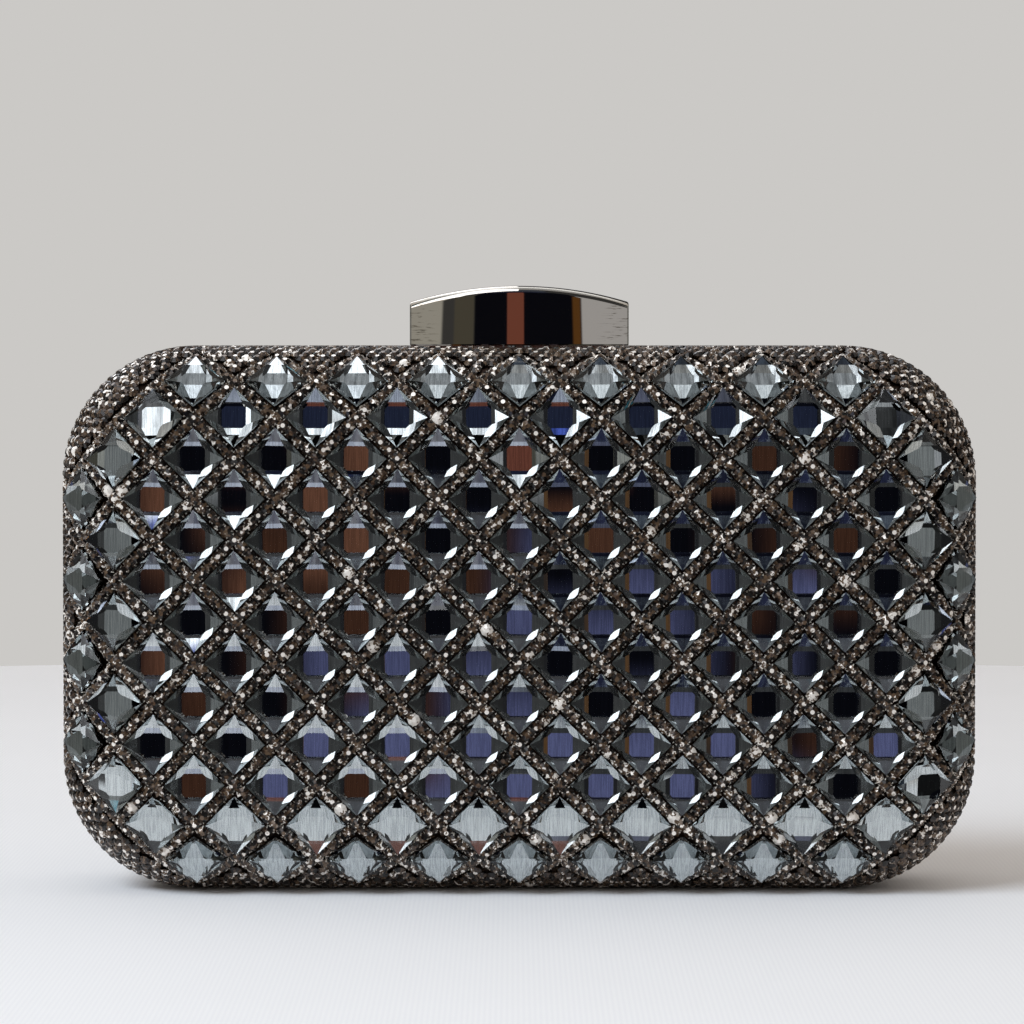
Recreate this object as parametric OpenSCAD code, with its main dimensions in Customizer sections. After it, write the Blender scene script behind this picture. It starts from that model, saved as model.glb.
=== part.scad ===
// Minaudiere: a hard metal box clutch covered in small rhinestones, with a lattice of large square
// crystals on each face and an arched lever clasp on top. Millimetres. X runs along the width, the
// front faces -Y, Z is up. The origin is the middle of the underside, on the plane where the halves meet.

/* [Case] */
// Width of the case over its small stones
case_w = 200; // [184:1:220]
// Height of the case over its small stones
case_h = 119; // [112:1:130]
// Depth of the straight side wall of each half, from the plane where the halves meet
side_wall = 5.3; // [5:0.1:9]
// Radius of the corners of the outline
corner_r = 29; // [27:0.5:33]
// Rounding of each shell where its face turns into the side walls
edge_r = 18; // [15:0.5:18.5]
// Thickness of the pressed metal shells
shell_t = 0.8; // [0.6:0.1:1]
// Thickness of the rhinestone cover
cover_t = 1.2; // [1.1:0.1:1.6]

/* [Frames] */
// Thickness of each rim frame
frame_t = 1.2; // [1:0.1:1.6]
// How far the front frame reaches in past the lining
frame_lip = 1.8; // [1.4:0.1:2.6]
// Width of the locating tongue on the front frame
tongue_w = 0.8; // [0.6:0.1:1]
// How far the tongue stands into the rear half
tongue_h = 0.8; // [0.5:0.1:1.2]

/* [Lining] */
// Thickness of the lining pans
lining_t = 0.8; // [0.6:0.1:1.2]

/* [Crystals] */
// Side of a square crystal
stone_side = 9.3; // [7:0.1:9.8]
// Distance between crystals in a row
stone_pitch_x = 17.5; // [17:0.1:20]
// Distance between every second row
stone_pitch_z = 17.6; // [17:0.1:20]
// Height of the crown of a crystal
crown_h = 1.9; // [1.4:0.1:2.2]
// Height of the upright sides of a crystal, which stand in its pocket
girdle_t = 1.2; // [1:0.1:1.6]
// Half the width of the table
table_half = 2.7; // [2.4:0.1:3.2]
// Half the length of a long side of the table
table_side_half = 2; // [1.6:0.1:2.2]
// Room between a crystal and the rhinestones round it
pocket_gap = 0.15; // [0.1:0.05:0.3]
// How far round the rounded edge a crystal may sit, past the flat of the face
stone_reach = 16.5; // [14:0.5:17.5]

/* [Hinge] */
// Number of knuckles along the hinge, shared out between the leaves
knuckle_count = 9; // [5:2:13]
// Radius of the hinge pin
hinge_pin_r = 0.5; // [0.4:0.05:0.6]
// Thickness of the hinge leaves
leaf_t = 0.6; // [0.5:0.1:0.8]
// Number of rivets in each leaf
leaf_rivets = 6; // [4:1:8]

/* [Clasp] */
// Width of the clasp lever
clasp_w = 48; // [40:1:56]
// Height of the lever over the case, at its middle
clasp_h = 13; // [12:0.5:15]
// Height of the lever over the case, at its ends
clasp_end_h = 9.5; // [8:0.5:11]
// Depth of the lever at its middle
clasp_d = 14; // [13:0.1:15]
// How much the front and back of the lever bow out
clasp_bow = 3.2; // [2:0.1:3.6]
// Wall of the lever
clasp_t = 1.2; // [1:0.1:1.4]
// Radius of the lever's pivot pin
pivot_r = 0.7; // [0.5:0.1:0.8]
// Height of the pivot over the case
pivot_h = 2.2; // [2:0.1:2.6]
// Width of the hook under the lever
hook_w = 11; // [8:0.5:12]
// How deep the hook drops behind the catch
hook_grip = 1.2; // [0.8:0.1:1.4]

/* [Hidden] */
$fn = 96;
// Gap between pieces that move past each other
run_gap = 0.3;
// Radial clearance of a pin in its hole
pin_clear = 0.04;
// Clearance under a seated piece, where solder, glue or cement lies
seat_gap = 0.05;
// Overrun of every cut
over = 1;
// Rivets: shank radius, head radius and head height
rivet_r = 0.6;
rivet_head_r = 1;
rivet_head_h = 0.35;

// Corner centres of the outline, and the corner radius of the flat part of each face
corner_x = case_w / 2 - corner_r;
corner_z = case_h / 2 - corner_r;
face_r = corner_r - cover_t - edge_r;
// Depth of one half over its small stones
half_depth = side_wall + edge_r + cover_t;
// Rounding radii of the surfaces from outside to inside
cover_round = edge_r + cover_t;
shell_in_round = edge_r - shell_t;
lining_gap = leaf_t + rivet_head_h + 3 * seat_gap;
lining_out_round = shell_in_round - lining_gap;
lining_in_round = lining_out_round - lining_t;

// Corner radii of the frames and their tongue
frame_in_r = face_r + lining_in_round - frame_lip;
tongue_out_r = frame_in_r + tongue_w;
rear_frame_in_r = tongue_out_r + run_gap - 2 * seat_gap;

// Crystals: half diagonal, radii that they are spaced out on and sit on, and rows above the middle one
stone_half = stone_side / sqrt(2);
pocket_half = stone_half + pocket_gap * sqrt(2);
seat_round = cover_round + seat_gap;
bed_round = edge_r + seat_gap;
flat_half_w = corner_x + face_r;
flat_half_h = corner_z + face_r;
half_rows = floor((flat_half_h + stone_reach) / (stone_pitch_z / 2));
row_ids = [for (i = [1 : 2 * half_rows + 1]) str(i < 10 ? "0" : "", i)];
half_columns = ceil(2 * (flat_half_w + stone_reach) / stone_pitch_x);

// Hinge: its axis lies on the outside of the shell, so the barrel is flush with the stones
barrel_r = cover_t;
hinge_z = cover_t;
hinge_end_gap = 3;
hinge_len = 2 * (corner_x - hinge_end_gap);
knuckle_pitch = hinge_len / knuckle_count;
barrel_room = barrel_r + run_gap;
leaf_z = cover_t + shell_t;
leaf_out = side_wall - 2 * seat_gap;
web_in = hinge_pin_r + 2 * pin_clear;
web_out = barrel_r - 4 * seat_gap;
leaf_rivet_y = (barrel_room + leaf_out) / 2;
// Half the stretch over which the outline lies below the hinge axis
low_half = corner_x + sqrt(pow(corner_r, 2) - pow(corner_r - hinge_z, 2)) + seat_gap;

// Clasp lever: radii and centres of its arch and of its bowed faces
lever_z = case_h + run_gap + 2 * seat_gap;
arch_rise = clasp_h - clasp_end_h;
arch_r = (pow(clasp_w / 2, 2) + pow(arch_rise, 2)) / (2 * arch_rise);
arch_z = case_h + clasp_h - arch_r;
bow_r = (pow(clasp_w / 2, 2) + pow(clasp_bow, 2)) / (2 * clasp_bow);
shell_top = case_h - cover_t;

// Pivot: behind the lever's front wall, with ears on the base and lugs on the lever
ear_r = pivot_r + run_gap;
lug_r = pivot_r + run_gap + 2 * seat_gap;
coil_in = pivot_r + 3 * seat_gap;
coil_out = coil_in + 7 * seat_gap;
ear_in = clasp_w / 7;
ear_w = 1.6;
ear_sag = bow_r - sqrt(pow(bow_r, 2) - pow(ear_in + ear_w, 2));
pivot_y = -(clasp_d / 2 - clasp_t - ear_sag - coil_out - run_gap);
pivot_z = case_h + pivot_h;
lug_in = ear_in + ear_w + run_gap + 2 * seat_gap;
lug_w = 1.8;
pivot_len = 2 * (lug_in + lug_w + ear_w / 2);
base_t = 0.8;
base_front = clasp_d / 2 - clasp_t - run_gap;
base_back = frame_t + run_gap;
base_half_w = ear_in + ear_w + seat_gap * 4;
base_rivet_x = ear_in / 4;
base_rivet_y = -(base_back + rivet_head_r + seat_gap);
coil_half = ear_in - 2 * ear_w;
spring_wire_r = 0.2;

// Catch: a sprung tongue on the rear half that the hook drops behind
catch_t = 0.6;
catch_half_w = clasp_w / 7;
catch_top = case_h + pivot_h;
catch_rivet_x = catch_half_w * 2 / 3;
catch_rivet_y = base_back + catch_t + run_gap + rivet_head_r + 3 * seat_gap;
hook_t = 0.8;
hook_y = base_back + catch_t + run_gap + 2 * seat_gap;
hook_foot = 3;
ceiling_z = arch_z + sqrt(pow(arch_r - clasp_t, 2) - pow(hook_w / 2, 2)) - 2 * seat_gap;

// Places a shape drawn flat, with its depth along +Z, on the front half
module front() {
    translate([0, 0, case_h / 2]) rotate([90, 0, 0]) children();
}

// Turns a shape made for the front half round to the rear half
module rear() {
    rotate([0, 0, 180]) children();
}

// Puts a quarter-round child, drawn in the first quadrant, at each corner centre
module at_corners() {
    signs = [[1, 1], [-1, 1], [-1, -1], [1, -1]];
    for (q = [0 : 3])
        translate([signs[q][0] * corner_x, signs[q][1] * corner_z, 0]) rotate([0, 0, 90 * q]) children();
}

// Slab with the case's outline, where r is the radius of its corners
module rounded_slab(r, h) {
    translate([-corner_x, -corner_z - r, 0]) cube([2 * corner_x, 2 * (corner_z + r), h]);
    translate([-corner_x - r, -corner_z, 0]) cube([2 * (corner_x + r), 2 * corner_z, h]);
    at_corners() rotate_extrude(angle = 90) square([r, h]);
}

// Quarter of a disc in the first quadrant
module quarter_disc(r) {
    intersection() {
        circle(r);
        square(2 * r);
    }
}

// Rounded edge bars and corner pieces round the flat of the face
module edge_rounds(r) {
    for (m = [0, 1]) {
        mirror([0, m, 0]) translate([-corner_x, flat_half_h, 0])
            rotate([90, 0, 90]) linear_extrude(2 * corner_x) quarter_disc(r);
        mirror([m, 0, 0]) translate([flat_half_w, corner_z, 0])
            rotate([90, 0, 0]) linear_extrude(2 * corner_z) quarter_disc(r);
    }
    at_corners() rotate_extrude(angle = 90) translate([face_r, 0]) quarter_disc(r);
}

// Solid dish with a straight wall and then a rounded edge up to its flat face
module dish(r, wall) {
    rounded_slab(face_r + r, wall);
    rounded_slab(face_r, wall + r);
    translate([0, 0, wall]) edge_rounds(r);
}

// Thin pan between two such dishes, open towards the parting plane
module pan(outer, inner) {
    difference() {
        translate([0, 0, frame_t]) dish(outer, side_wall - frame_t);
        translate([0, 0, -over]) dish(inner, side_wall + over);
    }
}

// Bar along X, centred on x = 0
module bar(r, len) {
    rotate([0, 90, 0]) cylinder(r = r, h = len, center = true);
}

// Box centred on x = 0 between two corners given in y and z
module block(half_w, y0, y1, z0, z1) {
    translate([-half_w, y0, z0]) cube([2 * half_w, y1 - y0, z1 - z0]);
}

// Room for the hinge barrel
module barrel_cut() {
    translate([0, 0, hinge_z]) bar(barrel_room, hinge_len + 2 * run_gap);
}

// Places of the rivets in a leaf of the front half
module at_leaf_rivets() {
    for (i = [0 : leaf_rivets - 1])
        translate([(i - (leaf_rivets - 1) / 2) * hinge_len / leaf_rivets, -leaf_rivet_y, 0]) children();
}

// Places of the two rivets of a clasp piece
module at_pair(x, y) {
    for (s = [-1, 1]) translate([s * x, y, 0]) children();
}

module shell_blank() {
    difference() {
        front() pan(edge_r, shell_in_round);
        barrel_cut();
        at_leaf_rivets() cylinder(r = rivet_r + pin_clear, h = leaf_z + over);
    }
}

module front_shell() {
    color("dimgray") difference() {
        shell_blank();
        at_pair(base_rivet_x, base_rivet_y)
            translate([0, 0, shell_top - shell_t - over]) cylinder(r = rivet_r + pin_clear, h = shell_t + 2 * over);
    }
}

module rear_shell() {
    color("dimgray") difference() {
        rear() shell_blank();
        at_pair(catch_rivet_x, catch_rivet_y)
            translate([0, 0, shell_top - shell_t - over]) cylinder(r = rivet_r + pin_clear, h = shell_t + 2 * over);
    }
}

// Rhinestone cover, open at the crystals, round the hinge barrel and under the clasp
module cover_blank() {
    difference() {
        front() difference() {
            pan(cover_round, edge_r);
            for (row = [1 : len(row_ids)]) crystal_row(row)
                translate([0, 0, -2 * over]) cylinder(r = pocket_half, h = cover_t + 4 * over, $fn = 4);
        }
        block(low_half, -barrel_room, 0, -over, hinge_z);
        translate([0, 0, shell_top - shell_t]) linear_extrude(case_h) lever_plan(-run_gap);
    }
}

module front_cover() {
    color([0.17, 0.12, 0.1]) cover_blank();
}

module rear_cover() {
    color([0.17, 0.12, 0.1]) rear() cover_blank();
}

// Rim frame, cut back where it would lie below the hinge axis and where the leaves pass
module frame_blank(in_r) {
    difference() {
        front() difference() {
            rounded_slab(corner_r, frame_t);
            translate([0, 0, -over]) rounded_slab(in_r, frame_t + 2 * over);
        }
        block(low_half, -half_depth, half_depth, -over, hinge_z);
        block(hinge_len / 2 + run_gap, -half_depth, half_depth, -over, leaf_z + leaf_t + run_gap);
    }
}

module front_frame() {
    color([0.78, 0.74, 0.68]) {
        frame_blank(frame_in_r);
        front() translate([0, 0, -tongue_h]) difference() {
            rounded_slab(tongue_out_r, tongue_h);
            translate([0, 0, -over]) rounded_slab(frame_in_r, tongue_h + 2 * over);
        }
    }
}

module rear_frame() {
    color([0.78, 0.74, 0.68]) rear() frame_blank(rear_frame_in_r);
}

module lining() {
    front() translate([0, 0, seat_gap]) pan(lining_out_round, lining_in_round);
}

module front_lining() {
    color([0.3, 0.2, 0.15]) lining();
}

module rear_lining() {
    color([0.3, 0.2, 0.15]) rear() lining();
}

// Leaf with every second knuckle, starting at the given one
module hinge_leaf(first) {
    reach = leaf_z + leaf_t;
    difference() {
        union() {
            block(hinge_len / 2, -leaf_out, -barrel_room, leaf_z, reach);
            for (i = [first : 2 : knuckle_count - 1])
                translate([(i - (knuckle_count - 1) / 2) * knuckle_pitch, 0, 0]) {
                    translate([0, 0, hinge_z]) bar(barrel_r, knuckle_pitch - run_gap);
                    block((knuckle_pitch - run_gap) / 2, -web_out, -web_in, hinge_z, reach);
                    block((knuckle_pitch - run_gap) / 2, -barrel_room, -web_in, leaf_z, reach);
                }
        }
        translate([0, 0, hinge_z]) bar(hinge_pin_r + pin_clear, hinge_len + 2 * over);
        at_leaf_rivets() cylinder(r = rivet_r + pin_clear, h = reach + over);
    }
}

module front_hinge_leaf() {
    color([0.7, 0.66, 0.58]) hinge_leaf(0);
}

module rear_hinge_leaf() {
    color([0.7, 0.66, 0.58]) rear() hinge_leaf(1);
}

module hinge_pin() {
    color("silver") translate([0, 0, hinge_z]) bar(hinge_pin_r, hinge_len);
}

// Rivet from the outside of the shell to a head on top of the leaf
module leaf_rivet() {
    translate([0, 0, cover_t]) cylinder(r = rivet_r, h = shell_t + leaf_t);
    translate([0, 0, leaf_z + leaf_t]) cylinder(r = rivet_head_r, h = rivet_head_h);
}

module front_hinge_rivets() {
    color("silver") at_leaf_rivets() leaf_rivet();
}

module rear_hinge_rivets() {
    color("silver") rear() at_leaf_rivets() leaf_rivet();
}

// Rivet that holds a plate of the given thickness on top of the shell
module top_rivet(plate) {
    translate([0, 0, shell_top - shell_t]) cylinder(r = rivet_r, h = shell_t + plate);
    translate([0, 0, shell_top + plate]) cylinder(r = rivet_head_r, h = rivet_head_h);
    translate([0, 0, shell_top - shell_t - rivet_head_h]) cylinder(r = rivet_head_r, h = rivet_head_h);
}

module clasp_base() {
    web_front = ear_r / 2;
    web_back = ear_r * 2 / 3;
    color([0.62, 0.58, 0.52]) difference() {
        union() {
            block(base_half_w, -base_front, -base_back, shell_top, shell_top + base_t);
            for (s = [-1, 1]) translate([s * (ear_in + ear_w / 2), pivot_y, 0]) {
                translate([0, 0, pivot_z]) bar(ear_r, ear_w);
                block(ear_w / 2, -web_front, web_back, shell_top, pivot_z);
            }
        }
        translate([0, pivot_y, pivot_z]) bar(pivot_r + pin_clear, clasp_w);
        at_pair(base_rivet_x, base_rivet_y)
            translate([0, 0, shell_top - over]) cylinder(r = rivet_r + pin_clear, h = base_t + 2 * over);
    }
}

module clasp_base_rivets() {
    color("silver") at_pair(base_rivet_x, base_rivet_y) top_rivet(base_t);
}

module clasp_pivot_pin() {
    color("silver") translate([0, pivot_y, pivot_z]) bar(pivot_r, pivot_len);
}

// Torsion spring: its coil round the pivot pin, one leg on the base and one up to the lever
module clasp_spring() {
    leg_r = (coil_in + coil_out) / 2;
    leg_x = coil_half - spring_wire_r;
    leg_top = ceiling_z - seat_gap;
    color("lightgray") {
        translate([0, pivot_y, pivot_z]) difference() {
            bar(coil_out, 2 * coil_half);
            bar(coil_in, 2 * coil_half + 2 * over);
        }
        translate([-leg_x, pivot_y + leg_r, shell_top + base_t + seat_gap])
            cylinder(r = spring_wire_r, h = pivot_z - shell_top - base_t - seat_gap);
        translate([leg_x, pivot_y - leg_r, pivot_z]) cylinder(r = spring_wire_r, h = leg_top - pivot_z);
    }
}

// The lever seen from above, with its bowed front and back
module lever_plan(inset) {
    half_w = clasp_w / 2 - inset;
    depth = clasp_d - 2 * inset;
    intersection() {
        translate([0, bow_r - depth / 2]) circle(bow_r, $fn = 720);
        translate([0, depth / 2 - bow_r]) circle(bow_r, $fn = 720);
        square([2 * half_w, 2 * clasp_d], center = true);
    }
}

// Solid of the lever's outer shape, or of its hollow when it is drawn in by a wall
module lever_form(inset, z0) {
    intersection() {
        translate([0, clasp_d, 0]) rotate([90, 0, 0]) linear_extrude(2 * clasp_d) intersection() {
            translate([0, arch_z]) circle(arch_r - inset, $fn = 360);
            translate([-clasp_w, z0]) square([2 * clasp_w, 2 * clasp_h]);
        }
        translate([0, 0, z0 - over]) linear_extrude(2 * clasp_h + 2 * over) lever_plan(inset);
    }
}

module clasp_lever() {
    lug_top = ceiling_z + clasp_t / 2;
    color([0.66, 0.62, 0.58]) difference() {
        union() {
            difference() {
                lever_form(0, lever_z);
                lever_form(clasp_t, lever_z - over);
            }
            for (s = [-1, 1]) translate([s * (lug_in + lug_w / 2), pivot_y, 0]) {
                translate([0, 0, pivot_z]) bar(lug_r, lug_w);
                block(lug_w / 2, -lug_r * 4 / 5, lug_r * 4 / 5, pivot_z, lug_top);
            }
        }
        translate([0, pivot_y, pivot_z]) bar(pivot_r + pin_clear, pivot_len);
    }
}

// Hook: a foot under the lever's top and a blade that drops behind the catch
module clasp_hook() {
    color([0.62, 0.58, 0.52]) {
        block(hook_w / 2, hook_y, hook_y + hook_t, catch_top - hook_grip, ceiling_z);
        block(hook_w / 2, hook_y - hook_foot, hook_y + hook_t, ceiling_z - catch_t, ceiling_z);
    }
}

// Catch: a riveted plate and its upright sprung tongue
module clasp_catch() {
    color([0.7, 0.68, 0.62]) difference() {
        union() {
            block(catch_half_w, base_back, base_front, shell_top, shell_top + catch_t);
            block(hook_w / 2, base_back, base_back + catch_t, shell_top, catch_top);
        }
        at_pair(catch_rivet_x, catch_rivet_y)
            translate([0, 0, shell_top - over]) cylinder(r = rivet_r + pin_clear, h = catch_t + 2 * over);
    }
}

module clasp_catch_rivets() {
    color("silver") at_pair(catch_rivet_x, catch_rivet_y) top_rivet(catch_t);
}

// Square crystal standing on its corner: flat back, girdle, four corner facets, four side facets, table
module crystal() {
    a = table_half;
    b = table_side_half;
    top = girdle_t + crown_h;
    rim = [[stone_half, 0], [0, stone_half], [-stone_half, 0], [0, -stone_half]];
    table = [[a, -b], [a, b], [b, a], [-b, a], [-a, b], [-a, -b], [-b, -a], [b, -a]];
    points = concat(
        [for (p = rim) [p[0], p[1], 0]],
        [for (p = rim) [p[0], p[1], girdle_t]],
        [for (p = table) [p[0], p[1], top]]
    );
    girdle = [for (i = [0 : 3]) [i, i + 4, (i + 1) % 4 + 4, (i + 1) % 4]];
    corners = [for (i = [0 : 3]) [4 + i, 8 + 2 * i, 9 + 2 * i]];
    sides = [for (i = [0 : 3]) [4 + i, 9 + 2 * i, 8 + (2 * i + 2) % 8, 4 + (i + 1) % 4]];
    polyhedron(
        points = points,
        faces = concat([[0, 1, 2, 3]], girdle, corners, sides, [[15, 14, 13, 12, 11, 10, 9, 8]])
    );
}

// How far a place on the unrolled face lies past the flat of the face, and in which direction
function past(u, v) = [
    sign(u) * max(abs(u) - corner_x, 0),
    sign(v) * max(abs(v) - corner_z, 0)
];
function overhang(u, v) = norm(past(u, v)) - face_r;

// Places a child on the rounded form of a half, by its distances on the unrolled face
module seated(u, v) {
    out = past(u, v);
    d = max(overhang(u, v), 0);
    way = d > 0 ? out / norm(out) : [0, 0];
    tilt = d / seat_round * 180 / PI;
    shift = bed_round * sin(tilt) - d;
    translate([u + way[0] * shift, v + way[1] * shift, side_wall + bed_round * cos(tilt)])
        rotate(a = tilt, v = d > 0 ? [-way[1], way[0], 0] : [0, 0, 1])
            children();
}

// Repeats a child along a row: even rows from the middle have one on the centre line, the others straddle it
module crystal_row(row) {
    k = half_rows + 1 - row;
    v = k * stone_pitch_z / 2;
    stagger = abs(k) % 2 / 2;
    for (c = [-half_columns : half_columns]) {
        u = (c + stagger) * stone_pitch_x;
        if (overhang(u, v) <= stone_reach) seated(u, v) children();
    }
}

module front_crystals(row) {
    color([0.36, 0.36, 0.44]) front() crystal_row(row) crystal();
}

module rear_crystals(row) {
    color([0.36, 0.36, 0.44]) rear() front() crystal_row(row) crystal();
}

front_shell();
front_cover();
front_frame();
front_lining();
rear_shell();
rear_cover();
rear_frame();
rear_lining();
front_hinge_leaf();
rear_hinge_leaf();
hinge_pin();
front_hinge_rivets();
rear_hinge_rivets();
clasp_base();
clasp_base_rivets();
clasp_pivot_pin();
clasp_spring();
clasp_lever();
clasp_hook();
clasp_catch();
clasp_catch_rivets();
for (row = [1 : len(row_ids)]) {
    front_crystals(row);
    rear_crystals(row);
}
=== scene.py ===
import math
import random

import bmesh
import bpy
from mathutils import Matrix, Vector
from mathutils.kdtree import KDTree


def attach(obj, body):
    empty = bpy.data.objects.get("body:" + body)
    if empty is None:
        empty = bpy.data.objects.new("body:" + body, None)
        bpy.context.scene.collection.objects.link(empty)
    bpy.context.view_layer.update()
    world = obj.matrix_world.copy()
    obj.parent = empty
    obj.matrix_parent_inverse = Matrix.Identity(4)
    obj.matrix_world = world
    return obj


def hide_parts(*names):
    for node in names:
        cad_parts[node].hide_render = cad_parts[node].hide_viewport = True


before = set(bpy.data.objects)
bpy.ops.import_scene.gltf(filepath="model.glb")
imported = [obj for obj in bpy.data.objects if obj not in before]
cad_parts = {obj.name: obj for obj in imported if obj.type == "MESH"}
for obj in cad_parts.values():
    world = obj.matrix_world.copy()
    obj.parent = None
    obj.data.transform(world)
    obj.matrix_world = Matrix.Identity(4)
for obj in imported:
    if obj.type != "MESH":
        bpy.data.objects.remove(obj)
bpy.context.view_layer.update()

# Lengths are in millimetres up to MM, which turns them to Blender's metres
MM = 0.001
TAU = 2 * math.pi
DEGREE = 360 / TAU
random.seed(7)

# Case, as in the CAD source
CASE_W = 200
CASE_H = 119
SIDE_WALL = 5.3
CORNER_R = 29
EDGE_R = 18
COVER_T = 1.2
FRAME_T = 1.2
SEAT_GAP = 0.05
CORNER_X = CASE_W / 2 - CORNER_R
CORNER_Z = CASE_H / 2 - CORNER_R
FACE_R = CORNER_R - COVER_T - EDGE_R
SEAT_R = EDGE_R + COVER_T + SEAT_GAP
QUARTER = SEAT_R * math.pi / 2

# Large crystals
STONE_HALF = 9.3 / math.sqrt(2)
PITCH_X = 17.5
PITCH_Z = 17.6
STONE_REACH = 16.5
HALF_ROWS = 6
HALF_COLUMNS = 7
TABLE_HALF = 2.7
TABLE_SIDE_HALF = 2.0
GIRDLE_T = 1.2
CROWN_H = 1.9
CRYSTAL_TOP = SEAT_GAP + GIRDLE_T + CROWN_H
# The foiled back lies a little over the shell
CRYSTAL_LIFT = 0.5
# Hand setting tilts a crystal by this much at most, and turns it with this spread, in radians
CRYSTAL_TILT = math.radians(1.1)
CRYSTAL_TURN = 0.012

# Small stones: their radius, their height, their cups and prongs, their places along a strip, and the
# rings of them that fill the border
BEAD_SIDES = 8
BEAD_R = 1.1
BEAD_H = 1.15
BEAD_TABLE_R = 0.5
BEAD_RIM = 0.6
CUP_R = 1.42
CUP_H = 0.5
CUP_FOOT = -0.1
PRONG_R = 0.34
PRONG_AT = 1.28
PRONG_FOOT = 0.35
PRONG_LEAN = 0.12
STRIP_STEPS = 5
RING_STEP = 2.04
BEAD_STEP = 2.36
BEAD_APART = 2.06
# The small stones tilt, and in the strips turn, by this much at most; elsewhere they turn at random
BEAD_TILT = math.radians(5)
STRIP_TURN = 0.2
# How far the small stones stay from the crystals and from the lever's sides and ends
CRYSTAL_ROOM = 1.25 * BEAD_R
LEVER_ROOM = BEAD_R + 0.3
LEVER_END_ROOM = 1.4
# A few small stones, at random, are painted bright all over: a painted reflection of the window
PAINTED_FLASH_SHARE = 0.02
PAINTED_FLASH_LEVEL = 3.5

# Hinge and clasp, as in the CAD source
HINGE_HALF = 79.6
BARREL_ROOM = 1.5
LEVER_W = 48
LEVER_D = 14
LEVER_BOW = 3.2
# The lever comes down 0.15 mm lower than in the CAD source, and its rear wall 0.45 mm lower, so that
# no daylight shows under it
LEVER_Z = 119.25
LEVER_REAR_Z = 118.95
LEVER_TOP = 132
LEVER_END = 128.5
LEVER_T = 1.2
LEVER_STEPS = 32
LEVER_ROUND = 1.6
LEVER_ROUND_STEPS = 7
LEVER_CORNER = 0.4
LEVER_CORNER_STEPS = 3
# Lugs under the lever that hold its pivot pin: their place along the pin, width, radius, hole and top
PIVOT_Y = -3.9
PIVOT_Z = 121.2
LUG_IN = 8.86
LUG_W = 1.8
LUG_R = 1.1
LUG_HOLE_R = 0.74
LUG_TOP = 131
LUG_STEPS = 24
BOW_R = ((LEVER_W / 2) ** 2 + LEVER_BOW**2) / (2 * LEVER_BOW)
ARCH_R = ((LEVER_W / 2) ** 2 + (LEVER_TOP - LEVER_END) ** 2) / (2 * (LEVER_TOP - LEVER_END))

# Camera: its distance from the face, its height over the middle of the case, and its lens
CAMERA_BACK = 900
CAMERA_RISE = math.radians(3.52)
CAMERA_PITCH = math.radians(-2.01)
CAMERA_X = -1.6
FACE_Y = -26
LENS_PX = 4196
FRAME_PX = 1024
SENSOR = 36

# The cloth reaches this far
CLOTH_R = 700
CLOTH_STEPS = 128
# What the stones mirror of it ends before the case, give or take its folds, nearer by CLOTH_SHORT on the
# right, and at the sides
CLOTH_FRONT = 85
CLOTH_FOLDS = 20
CLOTH_SHORT = 28
CLOTH_SIDE = 250
CLOTH_SIDE_SOFT = 30
# Room round the rear half where it swings down through the table
SWING_ROOM = 1.5
SWING_STEPS = 12

# What the stones and the lever mirror, each patch over those before it: its edges in degrees, to the
# right and up, then their softness, its level and its tint
ROOM = [
    # Dim front of the room, with a darker right side and a darker lower left
    (-62, 62, -90, 58, 4, 0.05, "F2F2F4"),
    (8, 62, -90, 2, 3, 0.010, "F0F0F4"),
    (-40, -22, -36, -14, 2, 0.03, "F0F0F4"),
    # Sides of the room that the crystals at both ends mirror
    (-72, -43, -8, 32, 4, 0.26, "EFF2F2"),
    (43, 72, -8, 32, 4, 0.27, "EFF2F2"),
    (-100, -72, -14, 32, 2, 0.13, "F4F6F0"),
    (72, 100, -14, 32, 2, 0.13, "F4F6F0"),
    # Pale door frames, and the dark gap and the olive wall beside the left one
    (17.8, 40, -0.4, 14, 0.5, 0.42, "FBFBFF"),
    (-40, -21.9, -0.4, 14, 0.5, 0.34, "FFFDF4"),
    (-18.5, -12.8, -0.4, 12, 0.4, 0.07, "FFF6DC"),
    # Dark shape in the middle, with navy and brown parts
    (-12.8, 17.8, -9, 24, 0.4, 0.006, "C8CCFF"),
    (-1.6, 2.6, -4.8, -3.3, 0.5, 0.20, "B4B9FF"),
    (-2.6, 3.8, -8.8, -4.8, 0.5, 0.25, "B4B9FF"),
    (-4.2, -1.6, -2.8, -1.0, 0.35, 0.15, "FFAE8B"),
    (-4.0, -1.8, -5.4, -2.8, 0.35, 0.06, "FFAE8B"),
    (3.2, 4.9, -4.8, -1.0, 0.35, 0.06, "FFAE8B"),
    (-2.6, 4.0, -1.7, -1.0, 0.2, 0.09, "FFAE8B"),
    (-9, 9, 14, 24, 1.5, 0.06, "98A8E8"),
    # What the lever shows of it: a pinkish patch and a golden line
    (-3.4, 1.4, -0.3, 9, 0.2, 0.17, "FF9C82"),
    (15.4, 17.6, -6, 5, 0.4, 0.10, "FFB060"),
    # Floor past the cloth: pale on the left, navy on the right
    (-26, -8.4, -80, -34, 0.6, 1.7, "D4DAF0"),
    (-8.4, 12, -80, -34, 0.6, 0.07, "A4B0FF"),
    (-9, 0.3, -22, -9, 0.6, 0.60, "D4DAF0"),
    (0.3, 2.6, -16, -9, 0.6, 0.20, "C0C6F0"),
    # Pale upper wall on the left, over the window
    (-72, -26, 66, 90, 3, 1.7, "F4F8FF"),
    # Wall under the window
    (-16, 12, 25, 31, 1.0, 0.09, "D0D4E8"),
    (-16, 12, 31, 34.5, 0.7, 0.045, "B0BCE8"),
    (-16, 12, 34.5, 50, 0.7, 0.14, "BCCCE8"),
]
# Walls and ceiling behind the patches, each a level and a tint, and where the ceiling lies
WALLS = (0.6, "FFF9F2")
CEILING_FRONT = (0.42, "F4F6FA")
CEILING_REAR = (1.3, "F8FBFF")
CEILING = (-180, 180, 60, 200, 6)
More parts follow.
